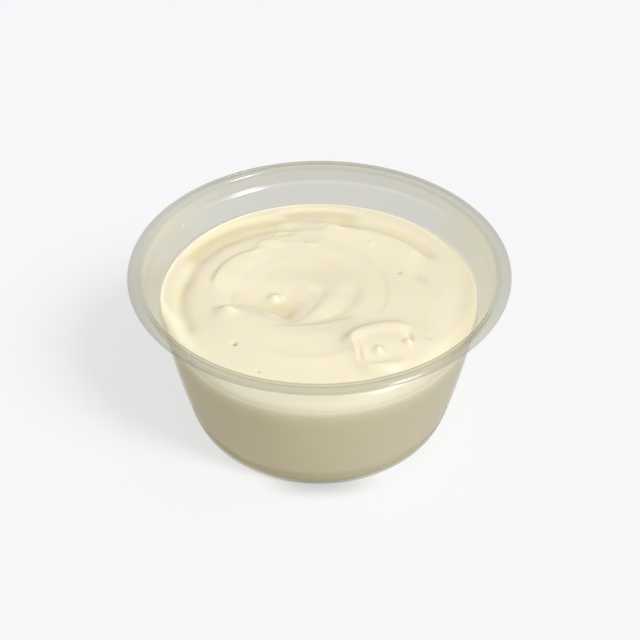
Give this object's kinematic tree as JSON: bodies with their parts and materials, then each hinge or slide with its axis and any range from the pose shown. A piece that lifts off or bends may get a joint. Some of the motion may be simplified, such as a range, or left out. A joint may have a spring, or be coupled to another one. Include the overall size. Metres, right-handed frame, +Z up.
{
  "type": "bowl of tofu cream",
  "caption": "Clear round portion cup with a flanged rim and a foot ring, filled near the top with smooth pale tofu cream that a spoon has swirled.",
  "frame": {"origin": "centre of the cup's foot, at the level that it stands on", "axes": "+Z up along the cup's axis, -Y towards the side that the picture was taken from, +X to its right"},
  "size_m": [0.074, 0.074, 0.0357],
  "materials": {
    "clear_plastic": "thin clear formed sheet, glossy, with a faint grey tint",
    "tofu_cream": "smooth moist cream, pale ivory, soft satin sheen"
  },
  "bodies": {
    "root": {"portion_cup": "clear_plastic", "tofu_cream": "tofu_cream"}
  },
  "joints": []
}
